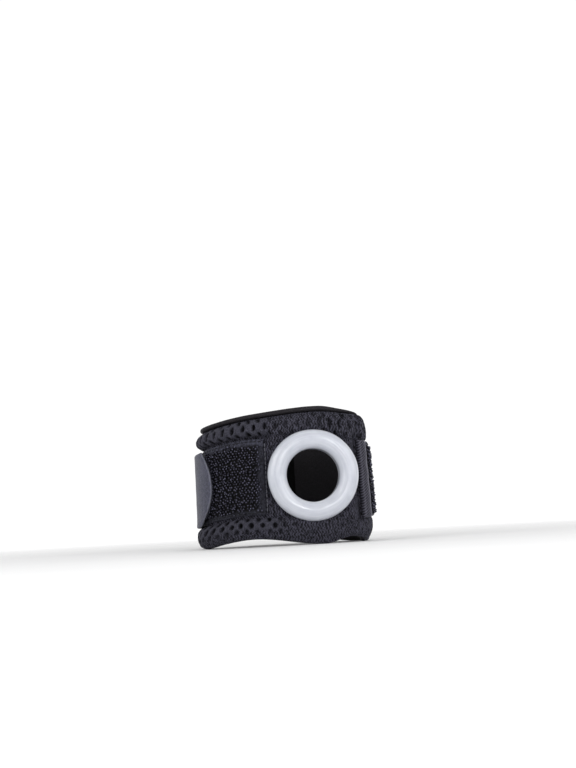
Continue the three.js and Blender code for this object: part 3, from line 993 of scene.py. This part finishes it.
def loop_threads(name, along, up, out, rng, material, height):
    """Small hoops of thread that stand on a tape, with a painted highlight on their tops and painted shade
    down their legs.
    """
    count = len(along)
    level, stand = loop_axes(along, rng)
    size = LOOP_RADIUS * rng.uniform(0.8, 1.25, count)[:, None, None]
    rise = rng.uniform(0.75, 1.25, count)[:, None, None] * height
    arc = np.linspace(-LOOP_FOOT_TURN, np.pi + LOOP_FOOT_TURN, LOOP_SEGMENTS)[None, :, None]
    spine = level[:, None] * size * np.cos(arc) + stand[:, None] * (size * rise * np.sin(arc) + 0.1)
    radial = level[:, None] * np.cos(arc) + stand[:, None] * np.sin(arc)
    sideways = np.cross(stand, level)[:, None, None]
    ring = round_thread(LOOP_SIDES)
    skin = radial[:, :, None] * np.cos(ring) + sideways * np.sin(ring)
    points = spot(along, out, up)[:, None, None] / MM + spine[:, :, None] + skin * THREAD_RADIUS
    quads = tube_sides(LOOP_SEGMENTS, LOOP_SIDES)[:, [0, 3, 2, 1]]
    faces = (np.arange(count) * LOOP_SEGMENTS * LOOP_SIDES)[:, None, None] + quads
    # Painted highlight on each hoop's top, painted shade down its legs, and a brightness that differs at
    # random from hoop to hoop
    top = np.clip(np.sin(arc), 0, 1) ** 6 * np.ones(LOOP_SIDES)
    shade = top * rng.uniform(0.2, 1, count)[:, None, None]
    return mesh_object(name, points * MM, faces.reshape(-1, 4), material, None, {"shade": shade})


def tab_tip(across):
    """Where the tab's round tip lies along the loop, for a share across it from -1 to 1."""
    return TAB["tip"] - np.where(across > 0, TAB_SWEEP_UP, TAB_SWEEP_DOWN) * across**2


def under_tab(along, up, margin):
    """True where a place on the panel is under the tab by more than a margin."""
    across = np.clip((up - edge("strap", along) + TAB["drop"]) / TAB["half"], -1, 1)
    return along < tab_tip(across) - margin


def make_loop_tape(node, tape, inner, ground, thread, seed):
    """A loop tape in place of a node: its knitted ground, and the hoops on it that the tab doesn't hide."""
    rng = np.random.default_rng(SEED + seed)
    piece = tape_base(f"{node}_ground", tape, ground, inner)
    along, across = scatter(tape, rng)
    up = edge("strap", along) + across
    shown = ~under_tab(along, up, 1.2)
    along, up = along[shown], up[shown]
    out = inner(along) + tape["base"]
    pile = loop_threads(f"{node}_pile", along, up, out, rng, thread, LOOP_HEIGHT[node])
    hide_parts(node)


def make_pressed_pile(material):
    """Part of the panel's pile that the tab presses flat."""
    across, share = tape_section(PANEL["half"] - PANEL["border"], PRESSED_PILE, 16, 3)
    tip = tab_tip((across + TAB["drop"]) / TAB["half"]) - 1
    along = mix(PANEL["from"] + 0.5, tip[None, :], np.linspace(0, 1, 40)[:, None])
    up = edge("strap", along) + across
    out = tape_seat(along) + PANEL["base"] + 0.05 + share * PRESSED_PILE
    piece = sweep("pressed_pile", along, out, up, material)


def make_binding(material):
    """Folded twill tape over the strap's sewn end."""
    turn = np.linspace(0, np.pi, 40)
    bead = np.concatenate([np.sin(turn) ** 0.5, np.zeros(8)])
    share = np.concatenate([(1 - np.cos(turn)) / 2, np.linspace(1, 0, 10)[1:-1]])
    across = np.linspace(-BINDING["half"], BINDING["half"], 180)[:, None]
    along = mix(BINDING["from"], BINDING["to"], share)[None, :]
    up = edge("strap", along) + across
    end = np.sqrt(np.clip(1 - (np.abs(across) / BINDING["half"]) ** 24, 0, 1))
    slack = 0.12 * wobble(along, across, 9, 20) + 0.05 * wobble(along * 3, across, 2.4, 21)
    out = tape_seat(along) + bead * (BINDING["thick"] * mix(0.45, 1, end) + slack)
    # Painted highlight: a pale band round the fold, where it turns to the light, and a fainter one near the
    # tape's start
    fold = 0.7 + 0.08 * wobble(0 * across, across, 6, 22)
    painted_highlight = hump(share, fold, 0.1) + 0.35 * hump(share, 0.12, 0.06)
    piece = sweep("strap_binding_tape", along, out, up, material, {"painted_highlight": painted_highlight * (bead > 0)})
    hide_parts("strap_binding")


def tab_inner(along, across):
    """Inner face of the tab, which stands off more towards its upper edge."""
    on_strap = 1 - ramp(along, STRAP["to"] - LOOP + TAB_STEP_DOWN["from"], TAB_STEP_DOWN["length"])
    slant = TAB_SLANT * (across + TAB["half"])
    return panel_top(along) + GAP + (STRAP["base"] + GAP) * on_strap + slant


def make_tab(material):
    across, share = tape_section(TAB["half"], TAB["thick"], 90, 6)
    tip = tab_tip(across / TAB["half"])
    steps = np.concatenate([np.linspace(0, 0.985, 130), [0.991, 0.996, 0.999, 1]])[:, None]
    along = mix(TAB["from"], tip[None, :], steps)
    near_tip = np.clip((tip - along) / 0.5, 0, 1)
    rounded = np.sqrt(1 - (1 - near_tip) ** 2)
    up = edge("strap", along) + across - TAB["drop"]
    lifted = TAB_TIP_LIFT * ramp(-across, 6, 9) * ramp(along, tip - 10, 10)
    thick = TAB["thick"] * mix(0.5 + 0 * rounded, 0.5 + (share - 0.5), rounded)
    out = tab_inner(along, across) + thick + lifted + 0.05 * wobble(along, across, 8, 30)
    # Pale cut edge: frayed fibres, with a painted highlight on the edge's outer round
    frayed = 0.45 + 0.25 * wobble(across, 0 * across, 2.4, 31)
    frayed_edge_and_highlight = (1 - smooth((tip - along) / frayed)) * share
    piece = sweep("hook_tab_felt", along, out, up, material, {"edge": 0.8 * frayed_edge_and_highlight})
    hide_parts("hook_tab")


def thread_row(name, along, out, up, material, radius=0.17, fill=0.8):
    """Stitches along a line of places: short bowed threads with small gaps between them."""
    line = spot(along, out, up)
    count = len(line) - 1
    segments = len(STITCH_WIDTHS)
    steps = np.linspace(0.5 - fill / 2, 0.5 + fill / 2, segments)[None, :, None]
    spine = line[:-1, None] * (1 - steps) + line[1:, None] * steps
    normal = out_direction((along[:-1] + along[1:]) / 2)
    bow = np.sin(np.linspace(0, np.pi, segments))[None, :, None]
    spine = spine + normal[:, None] * (bow - 0.5) * STITCH_BOW * MM
    forward = line[1:] - line[:-1]
    side = np.cross(normal, forward / np.linalg.norm(forward, axis=-1, keepdims=True))
    ring = round_thread(STITCH_SIDES)
    skin = normal[:, None, None] * np.sin(ring) + side[:, None, None] * np.cos(ring)
    width = radius * np.array(STITCH_WIDTHS)[None, :, None, None]
    points = spine[:, :, None] + skin * width * MM
    one = tube_faces(segments, STITCH_SIDES)
    starts = range(0, count * segments * STITCH_SIDES, segments * STITCH_SIDES)
    faces = [[start + corner for corner in face] for start in starts for face in one]
    piece = mesh_object(name, points, faces, material)


def seam_places(seam):
    """Places of a seam's stitches across a tape."""
    return np.arange(-seam["half"], seam["half"] + 0.1, seam["step"])


def edge_seams(name, tape, inner, end, material):
    """Rows of stitches along a tape's two edges."""
    along = np.arange(tape["from"] + 1, end, SEAM_STEP)
    out = inner(along) + tape["base"] + SEAM_LIFT
    for side, share in (("top", 1), ("bottom", -1)):
        height = edge("strap", along) + share * (tape["half"] - SEAM_INSET)
        thread_row(f"{name}_{side}_seam", along, out, height, material)


def panel_end_seam(material):
    """Pale seam up the panel's end, beside the ring."""
    across = seam_places(END_SEAM)
    along = np.full(len(across), PANEL["to"] + END_SEAM["past"])
    height = edge("strap", PANEL["to"]) + across
    out = groove_out(along) + END_SEAM["lift"]
    thread_row("panel_end_seam", along, out, height, material, radius=0.2, fill=0.9)


def tab_zigzag(material):
    """Zigzag that holds the tab's hidden end."""
    across = seam_places(ZIGZAG)
    along = TAB["from"] + ZIGZAG["inset"] + ZIGZAG["width"] * (np.arange(len(across)) % 2)
    height = edge("strap", along) + across - TAB["drop"]
    out = tab_inner(along, across) + TAB["thick"] + ZIGZAG["lift"]
    thread_row("tab_zigzag", along, out, height, material, radius=0.2, fill=0.94)


def make_stitches(dark, pale):
    """Seams that hold the panel, the strap and the tab."""
    panel_end_seam(pale)
    edge_seams("panel", PANEL, tape_seat, PANEL["to"] - 0.5, dark)
    edge_seams("strap", STRAP, strap_inner, STRAP["to"] - STRAP["bare"] - 1, dark)
    tab_zigzag(dark)


def make_floor():
    """Pale floor that the brace stands on, with painted light: it glows more away from the middle, to fade
    into the white surround.
    """
    bpy.ops.mesh.primitive_plane_add(size=6)
    floor = bpy.context.active_object
    floor.name = "floor"
    material, tree = new_material("floor_paper")
    away = add(tree, "VectorMath", {0: place_on(tree, "Object")}, operation="LENGTH").outputs["Value"]
    finish_material(material, {
        "Base Color": blend_colours(tree, grain(tree, 40.0), *FLOOR_PAPER),
        "Roughness": 0.75,
        "Specular IOR Level": 0.15,
        # Painted light: the floor glows, more strongly further from the middle
        "Emission Color": WHITE,
        "Emission Strength": spread(tree, away, 0.1, 1, 0, 0.6),
    })
    floor.data.materials.append(material)


def make_surround():
    """White surround, which lights the brace more from behind than from the front."""
    world = bpy.data.worlds.new("surround")
    world.use_nodes = True
    tree = world.node_tree
    tree.nodes.clear()
    behind = add(tree, "SeparateXYZ", {"Vector": place_on(tree, "Generated")}).outputs["Y"]
    strength = spread(tree, behind, -0.1, 0.7, 0.4, 1.05)
    seen = add(tree, "LightPath").outputs["Is Camera Ray"]
    strength = add(tree, "Math", {0: strength, 1: seen}, operation="MAXIMUM").outputs[0]
    light = add(tree, "Background", {"Color": WHITE, "Strength": strength})
    add(tree, "OutputWorld", {"Surface": light.outputs["Background"]})
    bpy.context.scene.world = world


def make_lights():
    for name, place, width, height, power in LAMPS:
        light = bpy.data.lights.new(name, "AREA")
        light.shape = "RECTANGLE"
        light.size = width
        light.size_y = height
        light.energy = power
        lamp = bpy.data.objects.new(name, light)
        lamp.location = place
        aim = Vector(LAMP_AIM) - lamp.location
        lamp.rotation_euler = aim.to_track_quat("-Z", "Y").to_euler()
        bpy.context.scene.collection.objects.link(lamp)


def make_camera():
    """The photograph's view, from just above the floor."""
    pitch, yaw, roll = np.radians([CAMERA_PITCH, CAMERA_YAW, CAMERA_ROLL])
    ahead = np.array([np.sin(yaw) * np.cos(pitch), np.cos(yaw) * np.cos(pitch), np.sin(pitch)])
    right = np.array([np.cos(yaw), -np.sin(yaw), 0])
    right = np.cos(roll) * right + np.sin(roll) * np.cross(right, ahead)
    axes = Matrix([right, np.cross(right, ahead), -ahead]).transposed().to_4x4()
    data = bpy.data.cameras.new("camera")
    data.sensor_fit = "VERTICAL"
    data.sensor_height = SENSOR
    data.lens = CAMERA_FOCAL_PIXELS * SENSOR / PICTURE_HEIGHT
    data.clip_start = 0.005
    camera = bpy.data.objects.new("camera", data)
    camera.matrix_world = Matrix.Translation(Vector(CAMERA_PLACE) * MM) @ axes
    bpy.context.scene.collection.objects.link(camera)
    bpy.context.scene.camera = camera


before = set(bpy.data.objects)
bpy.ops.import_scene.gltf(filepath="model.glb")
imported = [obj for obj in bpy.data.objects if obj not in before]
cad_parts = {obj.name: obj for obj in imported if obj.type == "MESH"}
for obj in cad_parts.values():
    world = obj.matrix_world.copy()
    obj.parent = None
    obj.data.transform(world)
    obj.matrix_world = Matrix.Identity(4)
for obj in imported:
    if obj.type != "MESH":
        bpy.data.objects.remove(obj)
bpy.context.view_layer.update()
CENTRE = loop_centre()
make_camera()
make_surround()
make_lights()
make_floor()

lining_knit = plain_cloth("lining_knit", LINING_KNIT, pitch=0.45, turn=0, roughness=0.62, sheen=0.03)
tape_ground = knitted_ground()
dark_thread = plain_cloth("dark_thread", DARK_THREAD, pitch=0.3, turn=30, roughness=0.5, sheen=0.1)
pale_thread = plain_cloth("pale_thread", PALE_THREAD, pitch=0.3, turn=30, roughness=0.45, sheen=0.1)
loops = pile_thread()

make_lining(lining_knit)
make_mesh_cover(mesh_cloth())
make_ring(ring_silicone())
make_loop_tape("loop_panel", PANEL, tape_seat, tape_ground, loops, seed=0)
make_pressed_pile(tape_ground)
make_loop_tape("strap", STRAP, strap_inner, tape_ground, loops, seed=1)
make_binding(twill_tape())
make_tab(tab_felt())
make_stitches(dark_thread, pale_thread)

bpy.context.scene.view_settings.view_transform = "Standard"
